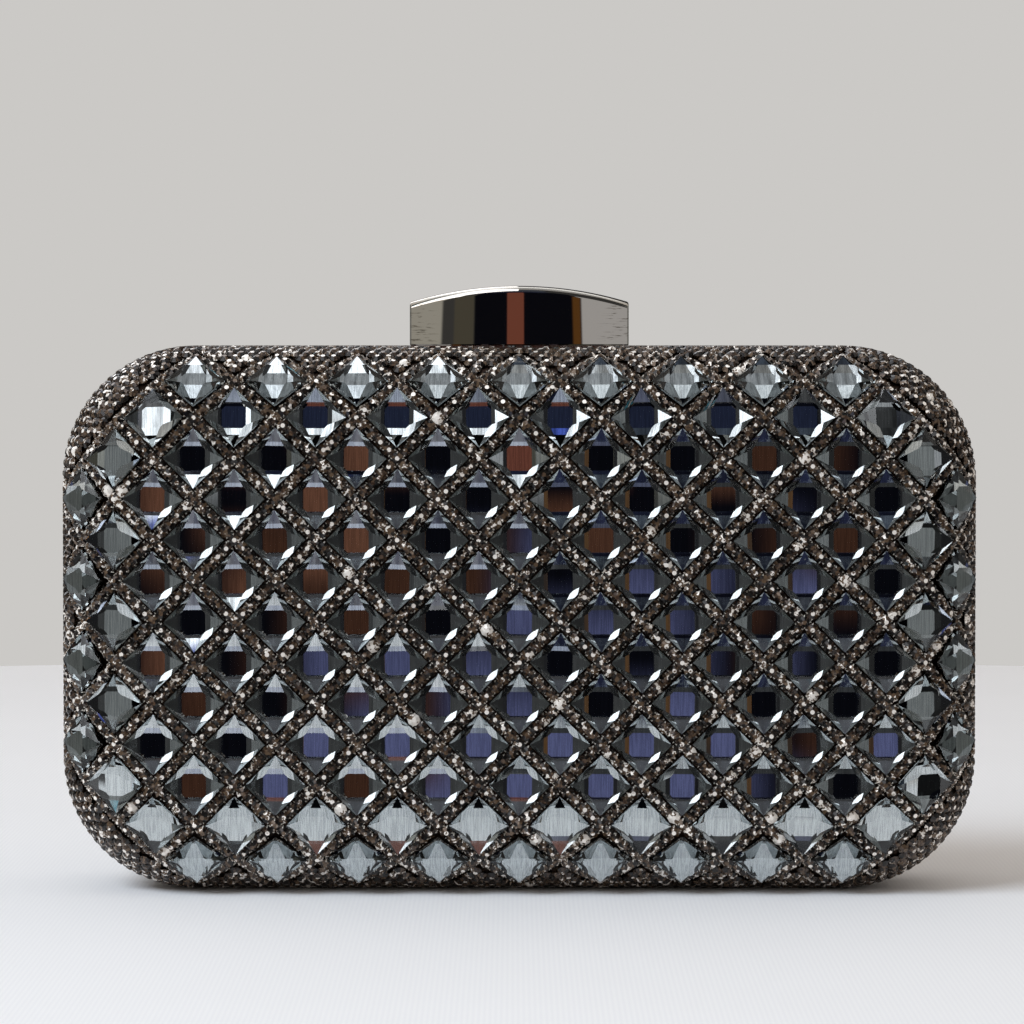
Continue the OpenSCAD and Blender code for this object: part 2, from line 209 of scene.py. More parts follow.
# The window: its sill falls to the left, where it comes down low, and coloured light fringes it
WINDOW = (2.4, "F8FAFF")
WINDOW_HIGH = (-47, -0.3, 25, 72, 0.4)
WINDOW_LOW = (-47, -20, 17.8, 72, 0.6)
SILL_SLOPE = -0.45
SILL = (36.2, 36.6)
SILL_FRINGE = (0.6, "6A84FF")
SILL_FRINGE_PATCH = (-28, -0.5, 25, 60, 0.4)
SILL_FRINGE_LOW = (35.4, 35.8)
FRINGES = [
    (-46, -25, 16.6, 17.6, 0.3, 0.9, "FFB060"),
    (-48.5, -47, 17, 60, 0.3, 0.9, "60E0FF"),
]
# The wall that the camera sees, and the room's soft light on the object
WALL = "CBC9C6"
ROOM_LIGHT = (0.56, "FFF6EC")

# Daylight from the window, against the warmer light of the room: a lamp, in metres and watts
LAMP_PLACE = (-1.2, -1.0, 1.4)
LAMP_AIM = (0, 0, 0.05)
LAMP_SIZE = (1.2, 0.9)
LAMP_WATTS = 33
LAMP_COLOUR = (0.8, 0.9, 1.0)

# Settings of the Map Range and Mix nodes that the materials share
SMOOTH = {"interpolation_type": "SMOOTHSTEP"}
COLOURS = {"data_type": "RGBA"}


# Materials


def linear(code):
    """Linear colour of an sRGB hex value."""
    parts = [int(code[i : i + 2], 16) / 255 for i in (0, 2, 4)]
    return [p / 12.92 if p <= 0.04045 else ((p + 0.055) / 1.055) ** 2.4 for p in parts] + [1]


def level(value, tint):
    """Colour of a light level with a tint."""
    return [part * value for part in linear(tint)[:3]] + [1]


def per_metre(size):
    """How many times a size in millimetres goes into a metre."""
    return 1 / (size * MM)


def add(tree, kind, inputs=None, **settings):
    """Adds a shader node; an input is a value, or the node or socket that it is linked from."""
    node = tree.nodes.new("ShaderNode" + kind)
    for name, value in settings.items():
        setattr(node, name, value)
    for name, value in (inputs or {}).items():
        if isinstance(value, bpy.types.Node):
            value = value.outputs[0]
        if isinstance(value, bpy.types.NodeSocket):
            tree.links.new(value, node.inputs[name])
        else:
            node.inputs[name].default_value = value
    return node


def new_material(name, **shader):
    """Material with one Principled shader, whose inputs are given by name with _ for a space."""
    mat = bpy.data.materials.new(name)
    mat.use_nodes = True
    tree = mat.node_tree
    tree.nodes.clear()
    inputs = {key.replace("_", " "): value for key, value in shader.items()}
    surface = add(tree, "BsdfPrincipled", inputs)
    add(tree, "OutputMaterial", {"Surface": surface})
    return mat, tree, surface


def crystal_glass():
    # Cut lead crystal, polished: clear with a breath of grey-green, and sharp facets
    mat, _, _ = new_material(
        "cut_crystal_glass",
        Base_Color=linear("FAFBFB"),
        Roughness=0.0,
        IOR=1.54,
        Transmission_Weight=1.0,
    )
    return mat


def crystal_foil():
    # Silver foil behind a crystal: a green-grey mirror with fine upright streaks, as it was brushed on
    mat, tree, surface = new_material("silver_foil_back", Metallic=1.0)
    place = add(tree, "TexCoord").outputs["Object"]
    # A streak is 0.24 mm wide, 1.7 mm deep and 5.9 mm long
    streak = (per_metre(0.238), per_metre(1.667), per_metre(5.882))
    streaks = add(tree, "Mapping", {"Vector": place, "Scale": streak})
    noise = add(tree, "TexNoise", {"Vector": streaks, "Scale": 1.0, "Detail": 3.0})
    brushed_on = add(tree, "MapRange", {"Value": noise, "From Min": 0.36, "From Max": 0.64}, **SMOOTH)
    tone = add(tree, "Mix", {0: brushed_on, 6: linear("B8BEC0"), 7: linear("D4DADB")}, **COLOURS)
    tree.links.new(tone.outputs[2], surface.inputs["Base Color"])
    rough = add(tree, "Math", {0: noise, 1: 0.02}, operation="MULTIPLY")
    tree.links.new(rough.outputs[0], surface.inputs["Roughness"])
    return mat


def bead_glass():
    # Smoky glass over foil: brown black, with painted highlights: its table and a few facets are painted
    # bright as flashes of light
    mat, tree, surface = new_material(
        "smoky_foiled_rhinestone", Metallic=0.3, Roughness=0.25, Coat_Weight=0.4, Coat_Roughness=0.03
    )
    place = add(tree, "TexCoord").outputs["Object"]
    # Cells 0.4 mm across stand for the back facets; the brightest of them are painted highlights, their
    # glints
    facets = add(tree, "TexVoronoi", {"Vector": place, "Scale": per_metre(0.4)})
    chance = add(tree, "SeparateColor", {"Color": facets.outputs["Color"]})
    painted_glint = add(tree, "Attribute", attribute_name="painted_glint").outputs["Fac"]
    tone_and_flash = add(tree, "Attribute", attribute_name="tone_and_flash").outputs["Fac"]
    bright = add(tree, "Math", {0: tone_and_flash, 1: 0.15}, operation="MULTIPLY")
    glint_and_stone_tone = add(tree, "Math", {0: painted_glint, 1: 0.7, 2: bright}, operation="MULTIPLY_ADD")
    tone_and_glint = add(tree, "Math", {0: chance, 1: 0.3, 2: glint_and_stone_tone}, operation="MULTIPLY_ADD")
    # Dull browns at random, and at the top of the ramp a near white: the painted highlights
    tone = linear("0F0B09")
    for low, high, code in ((0.25, 0.45, "43342A"), (0.5, 0.58, "64513F"), (0.72, 0.77, "FFF8F0")):
        share = add(tree, "MapRange", {"Value": tone_and_glint, "From Min": low, "From Max": high}, **SMOOTH)
        tone = add(tree, "Mix", {0: share, 6: tone, 7: linear(code)}, **COLOURS).outputs[2]
    tree.links.new(tone, surface.inputs["Base Color"])
    return mat


def bead_cup():
    # Stamped setting round each small stone: dark bronze plate, with bright spots painted on it as highlights
    mat, tree, surface = new_material("dark_bronze_setting", Metallic=1.0, Roughness=0.32)
    place = add(tree, "TexCoord").outputs["Object"]
    # Painted highlights: spots about 0.8 mm apart
    highlight_noise = add(tree, "TexNoise", {"Vector": place, "Scale": per_metre(0.769), "Detail": 2.0})
    painted_highlights = add(tree, "MapRange", {"Value": highlight_noise, "From Min": 0.54, "From Max": 0.64}, **SMOOTH)
    tone = add(tree, "Mix", {0: painted_highlights, 6: linear("33271F"), 7: linear("A08B78")}, **COLOURS)
    tree.links.new(tone.outputs[2], surface.inputs["Base Color"])
    return mat


def bead_prong():
    # Prongs that hold the small stones: metal tips rubbed smooth, with a painted shine: a near-white colour,
    # mostly not metal, that stays bright under any light
    mat, _, _ = new_material(
        "prong_metal_painted_shine", Base_Color=linear("FBF4EA"), Metallic=0.25, Roughness=0.3
    )
    return mat


def brushed(name, dark, light, rough, grain_mm):
    """Plated metal with a grain along X, which is 40 times as long as it is wide."""
    mat, tree, surface = new_material(name, Metallic=1.0)
    place = add(tree, "TexCoord").outputs["Object"]
    scale = (per_metre(grain_mm) / 40, per_metre(grain_mm), per_metre(grain_mm))
    grain = add(tree, "Mapping", {"Vector": place, "Scale": scale})
    noise = add(tree, "TexNoise", {"Vector": grain, "Scale": 1.0, "Detail": 5.0})
    tone = add(tree, "Mix", {0: noise, 6: linear(dark), 7: linear(light)}, **COLOURS)
    tree.links.new(tone.outputs[2], surface.inputs["Base Color"])
    spread = add(tree, "MapRange", {"Value": noise, "To Min": rough * 0.7, "To Max": rough * 1.4})
    tree.links.new(spread.outputs[0], surface.inputs["Roughness"])
    bump = add(tree, "Bump", {"Height": noise, "Strength": 0.12, "Distance": 0.02 * MM})
    tree.links.new(bump.outputs[0], surface.inputs["Normal"])
    return mat


def polished_lever():
    # Warm nickel plate, mirror polished: hairline rubs towards its ends, where hands hold it
    mat, tree, surface = new_material("polished_warm_nickel", Metallic=1.0)
    place = add(tree, "TexCoord").outputs["Object"]
    across = add(tree, "SeparateXYZ", {"Vector": place}).outputs["X"]
    outwards = add(tree, "Math", {0: across}, operation="ABSOLUTE")
    ends = add(tree, "MapRange", {"Value": outwards, "From Min": 16 * MM, "From Max": 23 * MM}, **SMOOTH)
    # A rub is 3.8 mm long and 0.3 mm high
    rub = (per_metre(3.846), per_metre(1.111), per_metre(0.3125))
    hair = add(tree, "Mapping", {"Vector": place, "Scale": rub})
    noise = add(tree, "TexNoise", {"Vector": hair, "Scale": 1.0, "Detail": 4.0})
    rubs = add(tree, "MapRange", {"Value": noise, "From Min": 0.56, "From Max": 0.66}, **SMOOTH)
    marks = add(tree, "Math", {0: rubs, 1: ends}, operation="MULTIPLY")
    tone = add(tree, "Mix", {0: marks, 6: linear("DAD4CA"), 7: linear("A49B8D")}, **COLOURS)
    tree.links.new(tone.outputs[2], surface.inputs["Base Color"])
    rough = add(tree, "Math", {0: marks, 1: 0.2, 2: 0.025}, operation="MULTIPLY_ADD")
    tree.links.new(rough.outputs[0], surface.inputs["Roughness"])
    return mat


def threads(tree, place, pitch, upright):
    """Height of a plain weave; its pitch is in millimetres, and it lies along X and one other axis."""
    scale = TAU / (20 * pitch * MM)
    weft = add(tree, "TexWave", {"Vector": place, "Scale": scale}, bands_direction="X")
    warp = add(tree, "TexWave", {"Vector": place, "Scale": scale}, bands_direction=upright)
    return add(tree, "Math", {0: weft.outputs[1], 1: warp.outputs[1]}, operation="MULTIPLY")


def satin_lining():
    # Woven satin on a stiff pan: a soft band of light across the threads, fine ribs close up
    mat, tree, surface = new_material(
        "brown_satin", Roughness=0.42, Sheen_Weight=0.35, Sheen_Roughness=0.35, Anisotropic=0.5
    )
    place = add(tree, "TexCoord").outputs["Object"]
    # Threads lie 0.25 mm apart, and are drawn at 0.6 mm so that they show
    weave = threads(tree, place, 0.6, "Z")
    # Its tone changes softly over 22 mm
    cloud = add(tree, "TexNoise", {"Vector": place, "Scale": per_metre(22.22), "Detail": 2.0})
    dull = add(tree, "Mix", {0: cloud, 6: linear("3A2A22"), 7: linear("574136")}, **COLOURS).outputs[2]
    tone = add(tree, "Mix", {0: weave, 6: dull, 7: linear("6B5245")}, **COLOURS)
    tree.links.new(tone.outputs[2], surface.inputs["Base Color"])
    bump = add(tree, "Bump", {"Height": weave, "Strength": 0.25, "Distance": 0.1 * MM})
    tree.links.new(bump.outputs[0], surface.inputs["Normal"])
    return mat


def cotton_cloth():
    # Bleached cotton cloth: matt, with a fine plain weave and slow soft waves
    mat, tree, surface = new_material("bleached_cotton", Roughness=0.9)
    place = add(tree, "TexCoord").outputs["Object"]
    # Threads lie 0.4 mm apart, and are drawn at 1 mm so that they show
    weave = threads(tree, place, 1.0, "Y")
    # Its waves are 111 mm long
    slow = add(tree, "TexNoise", {"Vector": place, "Scale": per_metre(111.1), "Detail": 2.0})
    waves = add(tree, "Mix", {0: slow, 6: linear("F1F1F3"), 7: linear("F7F7F9")}, **COLOURS).outputs[2]
    tone = add(tree, "Mix", {0: weave, 6: waves, 7: linear("ECECF0")}, **COLOURS)
    tree.links.new(tone.outputs[2], surface.inputs["Base Color"])
    bump = add(tree, "Bump", {"Height": weave, "Strength": 0.1, "Distance": 0.1 * MM})
    tree.links.new(bump.outputs[0], surface.inputs["Normal"])
    # Stones and metal mirror the cloth only as far as its edges, and the dark room past them
    rays = add(tree, "LightPath").outputs
    glossy, through = rays["Is Glossy Ray"], rays["Is Transmission Ray"]
    mirrored = add(tree, "Math", {0: glossy, 1: through}, operation="MAXIMUM")
    hidden = add(tree, "Math", {0: mirrored, 1: past_cloth(tree, place)}, operation="MULTIPLY")
    cut = add(tree, "MixShader", {0: hidden, 1: surface, 2: add(tree, "BsdfTransparent")})
    output = next(n for n in tree.nodes if n.type == "OUTPUT_MATERIAL")
    tree.links.new(cut.outputs[0], output.inputs["Surface"])
    return mat


def past_cloth(tree, place):
    """Mask of what lies past the edges of the cloth, as the stones mirror it."""
    x, y, _ = add(tree, "SeparateXYZ", {"Vector": place}).outputs
    # Its folds are 59 mm apart
    along = add(tree, "CombineXYZ", {"X": x})
    folds = add(tree, "TexNoise", {"Vector": along, "Scale": per_metre(58.82), "Detail": 2.0})
    nearest = (CLOTH_FRONT - CLOTH_FOLDS / 2) * MM
    reach = add(tree, "Math", {0: folds, 1: CLOTH_FOLDS * MM, 2: nearest}, operation="MULTIPLY_ADD")
    right = add(tree, "MapRange", {"Value": x, "From Min": 4 * MM, "From Max": 10 * MM}, **SMOOTH)
    edge = add(tree, "Math", {0: right, 1: -CLOTH_SHORT * MM, 2: reach}, operation="MULTIPLY_ADD")
    ahead = add(tree, "Math", {0: y}, operation="ABSOLUTE")
    over = add(tree, "Math", {0: ahead, 1: edge}, operation="SUBTRACT")
    before = add(tree, "MapRange", {"Value": over, "From Min": 0.0, "From Max": 6 * MM}, **SMOOTH)
    aside = add(tree, "Math", {0: x}, operation="ABSOLUTE")
    ends = {"From Min": CLOTH_SIDE * MM, "From Max": (CLOTH_SIDE + CLOTH_SIDE_SOFT) * MM}
    beside = add(tree, "MapRange", {"Value": aside, **ends}, **SMOOTH)
    return add(tree, "Math", {0: before, 1: beside}, operation="MAXIMUM")


# Placing on the case


def seat(u, v, lift):
    """Place on the outside of the front half, in millimetres.

    u and v are distances along the unrolled outside from the middle of the face, and lift is
    the height over the metal shell. The matrix's own Z points away from the case."""
    past_x = math.copysign(max(abs(u) - CORNER_X, 0), u)
    past_z = math.copysign(max(abs(v) - CORNER_Z, 0), v)
    reach = math.hypot(past_x, past_z)
    over = reach - FACE_R
    if over <= 0:
        return front_half() @ Matrix.Translation((u, v, SIDE_WALL + EDGE_R + lift))
    way = Vector((past_x, past_z, 0)) / reach
    tilt = min(over, QUARTER) / SEAT_R
    out = FACE_R - reach + (EDGE_R + lift) * math.sin(tilt)
    depth = SIDE_WALL + (EDGE_R + lift) * math.cos(tilt) - max(over - QUARTER, 0)
    place = Vector((u, v, depth)) + way * out
    turn = Matrix.Rotation(tilt, 4, Vector((-way.y, way.x, 0)))
    return front_half() @ Matrix.Translation(place) @ turn


def front_half():
    """Turns a face drawn flat, with its depth along Z, to stand on the front of the case."""
    return Matrix.Translation((0, 0, CASE_H / 2)) @ Matrix.Rotation(math.pi / 2, 4, "X")


def rear_turn(half):
    """Half turn that takes a front place to the rear half."""
    return Matrix.Rotation(math.pi, 4, "Z") if half == "rear" else Matrix.Identity(4)


def crystal_rows():
    """The unrolled places of the crystals, from the top row down."""
    rows = []
    for k in range(HALF_ROWS, -HALF_ROWS - 1, -1):
        v = k * PITCH_Z / 2
        row = []
        for c in range(-HALF_COLUMNS, HALF_COLUMNS + 1):
            u = (c + abs(k) % 2 / 2) * PITCH_X
            reach = math.hypot(max(abs(u) - CORNER_X, 0), max(abs(v) - CORNER_Z, 0))
            if reach - FACE_R <= STONE_REACH:
                row.append((u, v))
        rows.append(row)
    return rows


def wobble(limit):
    """Small seeded tilt about a random axis in the plane of a stone."""
    way = random.uniform(0, TAU)
    return Matrix.Rotation(random.uniform(0, limit), 4, Vector((math.cos(way), math.sin(way), 0)))


# Stones


def cut_stone(rings):
    """Faceted stone as the hull of level rings, each of (radius, height, corners, first angle)."""
    bm = bmesh.new()
    for radius, height, corners, first in rings:
        place = Matrix.Translation((0, 0, height)) @ Matrix.Rotation(first, 4, "Z")
        bmesh.ops.create_circle(bm, segments=corners, radius=radius, matrix=place)
    bmesh.ops.convex_hull(bm, input=bm.verts)
    bmesh.ops.delete(bm, geom=[e for e in bm.edges if not e.link_faces], context="EDGES")
    bmesh.ops.dissolve_limit(
        bm, angle_limit=math.radians(0.5), verts=bm.verts, edges=bm.edges, use_dissolve_boundaries=False
    )
    bmesh.ops.recalc_face_normals(bm, faces=bm.faces)
    return bm


def as_mesh(bm, name):
    """Turns a bmesh in millimetres to a mesh in millimetres, and frees it."""
    mesh = bpy.data.meshes.new(name)
    bm.to_mesh(mesh)
    bm.free()
    return mesh


def crystal_stone():
    """Square crystal on its corner, with an octagonal table, upright sides and a foiled back."""
    table_r = math.hypot(TABLE_HALF, TABLE_SIDE_HALF)
    turn = math.atan2(TABLE_SIDE_HALF, TABLE_HALF)
    rim = CRYSTAL_TOP - CROWN_H
    bm = cut_stone(
        [
            (STONE_HALF, CRYSTAL_LIFT, 4, 0),
            (STONE_HALF, rim, 4, 0),
            (table_r, CRYSTAL_TOP, 4, turn),
            (table_r, CRYSTAL_TOP, 4, -turn),
        ]
    )
    for face in bm.faces:
        face.material_index = 1 if face.normal.z < -0.5 else 0
    return as_mesh(bm, "crystal_stone")


def bead_stone():
    """Small round rhinestone in its cup, with four prongs."""
    bm = cut_stone(
        [
            (BEAD_TABLE_R, BEAD_H, BEAD_SIDES, 0),
            (BEAD_R, BEAD_RIM, BEAD_SIDES, 0),
            (CUP_R, CUP_H, BEAD_SIDES, 0),
            (CUP_R, CUP_FOOT, BEAD_SIDES, 0),
        ]
    )
    for face in bm.faces:
        face.material_index = 0 if face.calc_center_median().z > CUP_H + 0.1 else 1
    for i in range(4):
        turn = Matrix.Rotation(i * TAU / 4, 4, "Z") @ Matrix.Translation((PRONG_AT, 0, 0))
        low = turn @ Matrix.Translation((0, 0, BEAD_RIM - PRONG_FOOT))
        old = set(bm.faces)
        foot = bmesh.ops.create_circle(bm, segments=3, radius=PRONG_R, matrix=low)["verts"]
        top = turn @ Vector((-PRONG_LEAN, 0, BEAD_H - PRONG_LEAN))
        tip = bmesh.ops.create_vert(bm, co=top)["vert"]
        bmesh.ops.convex_hull(bm, input=foot + tip)
        for face in set(bm.faces) - old:
            face.material_index = 2
    bmesh.ops.recalc_face_normals(bm, faces=bm.faces)
    return as_mesh(bm, "bead_stone")


def scattered(name, stone, places):
    """One mesh object with a copy of a stone at each place, both in millimetres."""
    bm = bmesh.new()
    for place in places:
        copy = stone.copy()
        copy.transform(place)
        bm.from_mesh(copy)
        bpy.data.meshes.remove(copy)
    bmesh.ops.scale(bm, vec=(MM, MM, MM), verts=bm.verts)
    return finished(name, bm)


def finished(name, bm, *materials):
    """Object at the origin from a bmesh in metres."""
    mesh = bpy.data.meshes.new(name)
    bm.to_mesh(mesh)
    bm.free()
    for mat in materials:
        mesh.materials.append(mat)
    obj = bpy.data.objects.new(name, mesh)
    bpy.context.scene.collection.objects.link(obj)
    return obj


def face_glints_and_tones(obj, faces_each, table):
    """Gives each facet its painted glint, and each stone its tone at random, which for a few stones is a
    painted flash all over, as the bead glass reads them.
    """
    mesh = obj.data
    painted_glint = mesh.attributes.new("painted_glint", "FLOAT", "FACE")
    tone_and_flash = mesh.attributes.new("tone_and_flash", "FLOAT", "FACE")
    painted_glints, tones_and_flashes = [], []
    for i in range(len(mesh.polygons)):
        if i % faces_each == 0:
            tone = PAINTED_FLASH_LEVEL if random.random() < PAINTED_FLASH_SHARE else random.random() ** 2
        tones_and_flashes.append(tone)
        # The table of each stone is painted brighter than the facets round it: a painted highlight
        painted_glints.append(random.uniform(0.45, 1.0) if i % faces_each == table else 0.8 * random.random() ** 2)
    painted_glint.data.foreach_set("value", painted_glints)
    tone_and_flash.data.foreach_set("value", tones_and_flashes)


def strip_places():
    """Unrolled places of the small stones in the strips round every crystal."""
    places = {}
    for row in crystal_rows():
        for u, v in row:
            corners = [
                (u + PITCH_X / 2, v),
                (u, v + PITCH_Z / 2),
                (u - PITCH_X / 2, v),
                (u, v - PITCH_Z / 2),
            ]
            for (u0, v0), (u1, v1) in zip(corners, corners[1:] + corners[:1]):
                for i in range(STRIP_STEPS):
                    t = i / STRIP_STEPS
                    spot = (u0 + (u1 - u0) * t, v0 + (v1 - v0) * t)
                    places[(round(spot[0], 2), round(spot[1], 2))] = spot
    return [places[key] for key in sorted(places)]


def ring_places(over, shift):
    """Unrolled places along one ring round the face, at a distance past its flat."""
    reach = FACE_R + over
    true_reach = FACE_R + (EDGE_R + COVER_T / 2) * math.sin(min(over, QUARTER) / SEAT_R)
    if over <= 0:
        true_reach = reach
    found = []
    across = round(2 * CORNER_X / BEAD_STEP)
    up = round(2 * CORNER_Z / BEAD_STEP)
    bend = max(round(true_reach * math.pi / 2 / BEAD_STEP), 1)
    for i in range(across):
        u = -CORNER_X + (i + shift) * 2 * CORNER_X / across
        found += [(u, CORNER_Z + reach), (-u, -CORNER_Z - reach)]
    for i in range(up):
        v = CORNER_Z - (i + shift) * 2 * CORNER_Z / up
        found += [(CORNER_X + reach, v), (-CORNER_X - reach, -v)]
    for quarter in range(4):
        for i in range(bend):
            angle = quarter * math.pi / 2 + math.pi / 2 * (i + 0.5) / bend
            way_x, way_z = math.cos(angle), math.sin(angle)
            found.append(
                (
                    math.copysign(CORNER_X, way_x) + way_x * reach,
                    math.copysign(CORNER_Z, way_z) + way_z * reach,
                )
            )
    return found


def blocked(u, v, spot, crystals):
    """Whether a border stone would meet a crystal, the hinge barrel or the clasp lever."""
    for cu, cv in crystals:
        if abs(u - cu) + abs(v - cv) < STONE_HALF + CRYSTAL_ROOM:
            return True
    low = spot.z < CASE_H / 2
    if low and abs(spot.x) < HINGE_HALF and -spot.y < BARREL_ROOM + BEAD_R:
        return v < -CORNER_Z
    if not low and abs(spot.x) < LEVER_W / 2 + LEVER_END_ROOM:
        half_depth = lever_depth(min(abs(spot.x), LEVER_W / 2))
        return v > CORNER_Z and -spot.y < half_depth + LEVER_ROOM
    return False


def bead_places():
    """Places of the small stones of one half: in the strips, on the border of its face, and on its side."""
    strips = strip_places()
    crystals = [uv for row in crystal_rows() for uv in row]
    spots = [seat(u, v, 0).translation for u, v in strips]
    tree = KDTree(len(spots))
    for i, spot in enumerate(spots):
        tree.insert(spot, i)
    tree.balance()
    border, side = [], []
    last = QUARTER + SIDE_WALL - FRAME_T - BEAD_R - SEAT_GAP
    ring = 0
    while last - ring * RING_STEP > -FACE_R:
        over = last - ring * RING_STEP
        kept = side if over > QUARTER / 2 else border
        for u, v in ring_places(over, ring % 2 / 2):
            spot = seat(u, v, 0).translation
            if tree.find(spot)[2] > BEAD_APART and not blocked(u, v, spot, crystals):
                kept.append((u, v))
        ring += 1
    return strips, border, side


def bead_matrices(places, turn, slack):
    """Matrices of small stones, each turned about its own axis by up to the slack either way."""
    return [
        turn
        @ seat(u, v, 0)
        @ wobble(BEAD_TILT)
        @ Matrix.Rotation(random.uniform(-slack, slack), 4, "Z")
        for u, v in places
    ]


def make_stones(looks):
    """Crystals and rhinestone cover of both halves."""
    crystal = crystal_stone()
    bead = bead_stone()
    table = max(bead.polygons, key=lambda face: face.center.z).index
    strips, border, side = bead_places()
    for half in ("front", "rear"):
        turn = rear_turn(half)
        for number, row in enumerate(crystal_rows(), 1):
            places = [
                turn
                @ seat(u, v, 0)
                @ wobble(CRYSTAL_TILT)
                @ Matrix.Rotation(random.gauss(0, CRYSTAL_TURN), 4, "Z")
                for u, v in row
            ]
            node = f"{half}_crystals_row_{number:02d}"
            obj = scattered(f"{half}_crystal_row_{number:02d}", crystal, places)
            dress(obj, f"{half}_half", "crystal", looks["glass"], looks["foil"])
            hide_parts(node)
        parts = (("strip", strips, STRIP_TURN), ("border", border, TAU), ("side", side, TAU))
        for part, places, slack in parts:
            obj = scattered(f"{half}_{part}_rhinestones", bead, bead_matrices(places, turn, slack))
            face_glints_and_tones(obj, len(bead.polygons), table)
            # The prongs in the strips get the painted shine, and elsewhere painted shade: the same dark
            # colour as the settings
            prong = looks["prong"] if part == "strip" else looks["cup"]
            dress(obj, f"{half}_half", "rhinestones", looks["bead"], looks["cup"], prong)
            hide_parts(f"{half}_cover")


def dress(obj, body, slot, *materials):
    """Gives a new piece its materials and its body; its slot is not used."""
    for mat in materials:
        obj.data.materials.append(mat)
    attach(obj, body)


# Clasp lever


def sharp_edges(bm):
    """Edges whose faces meet at more than 35 degrees."""
    return [e for e in bm.edges if e.calc_face_angle(0) > math.radians(35)]


def lever_depth(x):
    """Half the lever's depth at a distance from its middle."""
    return LEVER_D / 2 - LEVER_BOW + ((LEVER_W / 2) ** 2 - x**2) / (2 * BOW_R)


def lever_block(bm, inset):
    """Closed block with an arched top and bowed sides, drawn in by an inset from the lever's outside."""
    old = set(bm.edges)
    half_w = LEVER_W / 2 - inset
    arch_z = LEVER_TOP - ARCH_R
    end_z = arch_z + math.sqrt((ARCH_R - inset) ** 2 - half_w**2)
    start = bm.verts.new((half_w, -1, end_z))
    bmesh.ops.spin(
        bm,
        geom=[start],
        cent=(0, -1, arch_z),
        axis=(0, -1, 0),
        angle=2 * math.asin(half_w / (ARCH_R - inset)),
        steps=LEVER_STEPS,
    )
    # The arch is drawn down to a strip of faces, and the strip is drawn out to a block
    down = bmesh.ops.extrude_edge_only(bm, edges=[e for e in bm.edges if e not in old])["geom"]
    for v in [g for g in down if isinstance(g, bmesh.types.BMVert)]:
        v.co.z = LEVER_Z
    strip = [g for g in down if isinstance(g, bmesh.types.BMFace)]
    wall = bmesh.ops.extrude_face_region(bm, geom=strip, use_keep_orig=True)["geom"]
    for v in [g for g in wall if isinstance(g, bmesh.types.BMVert)]:
        v.co.y = 1
        if v.co.z < LEVER_Z + 0.1:
            v.co.z = LEVER_REAR_Z
    for v in {v for e in bm.edges if e not in old for v in e.verts}:
        v.co.y *= lever_depth(v.co.x) - inset
    bmesh.ops.recalc_face_normals(bm, faces=bm.faces)


def lever_lug(bm, x):
    """Lug from x to the right: a ring round the pivot pin, and a stem that joins it to the lever."""
    place = Matrix.Translation((x, PIVOT_Y, PIVOT_Z)) @ Matrix.Rotation(math.pi / 2, 4, "Y")
    old = set(bm.edges)
    for radius in (LUG_R, LUG_HOLE_R):
        bmesh.ops.create_circle(bm, segments=LUG_STEPS, radius=radius, matrix=place)
    ring = bmesh.ops.bridge_loops(bm, edges=[e for e in bm.edges if e not in old])["faces"]
    drawn = bmesh.ops.extrude_face_region(bm, geom=ring, use_keep_orig=True)["geom"]
    for v in [g for g in drawn if isinstance(g, bmesh.types.BMVert)]:
        v.co.x += LUG_W
    foot = PIVOT_Z + (LUG_R + LUG_HOLE_R) / 2
    middle = Matrix.Translation((x + LUG_W / 2, PIVOT_Y, (foot + LUG_TOP) / 2))
    bmesh.ops.create_cube(bm, size=1, matrix=middle @ Matrix.Diagonal((LUG_W, LUG_W, LUG_TOP - foot, 1)))


def make_lever(looks):
    """Arched lever with bowed faces, a rounded top edge, fine corner bevels and a hollow underside."""
    bm = bmesh.new()
    lever_block(bm, 0)
    arch = [e for e in sharp_edges(bm) if min(v.co.z for v in e.verts) > LEVER_END - 0.1]
    arch = [e for e in arch if abs(e.verts[0].co.x - e.verts[1].co.x) > 0.1]
    rounding = {"profile": 0.5, "affect": "EDGES", "material": -1}
    bmesh.ops.bevel(bm, geom=arch, offset=LEVER_ROUND, segments=LEVER_ROUND_STEPS, **rounding)
    ends = [e for e in sharp_edges(bm) if max(v.co.z for v in e.verts) > LEVER_Z + 0.1]
    bmesh.ops.bevel(bm, geom=ends, offset=LEVER_CORNER, segments=LEVER_CORNER_STEPS, **rounding)
    # The hollow is a smaller block, and its lower edge is joined to the outer one
    lever_block(bm, LEVER_T)
    bmesh.ops.dissolve_faces(bm, faces=[f for f in bm.faces if f.normal.z < -0.9])
    floors = [f for f in bm.faces if f.normal.z < -0.9]
    edges = [e for f in floors for e in f.edges]
    bmesh.ops.delete(bm, geom=floors, context="FACES_ONLY")
    bmesh.ops.triangle_fill(bm, edges=edges, use_beauty=True, normal=(0, 0, -1))
    for x in (-LUG_IN - LUG_W, LUG_IN):
        lever_lug(bm, x)
    bmesh.ops.recalc_face_normals(bm, faces=bm.faces)
    bmesh.ops.scale(bm, vec=(MM, MM, MM), verts=bm.verts)
    obj = finished("clasp_lever_shell", bm)
    for face in obj.data.polygons:
        face.use_smooth = True
    obj.data.set_sharp_from_angle(angle=math.radians(30))
    # Large faces keep their own normals, so that they mirror the room without a bend
    even = obj.modifiers.new("even_normals", "WEIGHTED_NORMAL")
    even.weight = 100
    even.keep_sharp = True
    dress(obj, "clasp", "clasp_metal", looks["lever"])
    return obj


# Stage


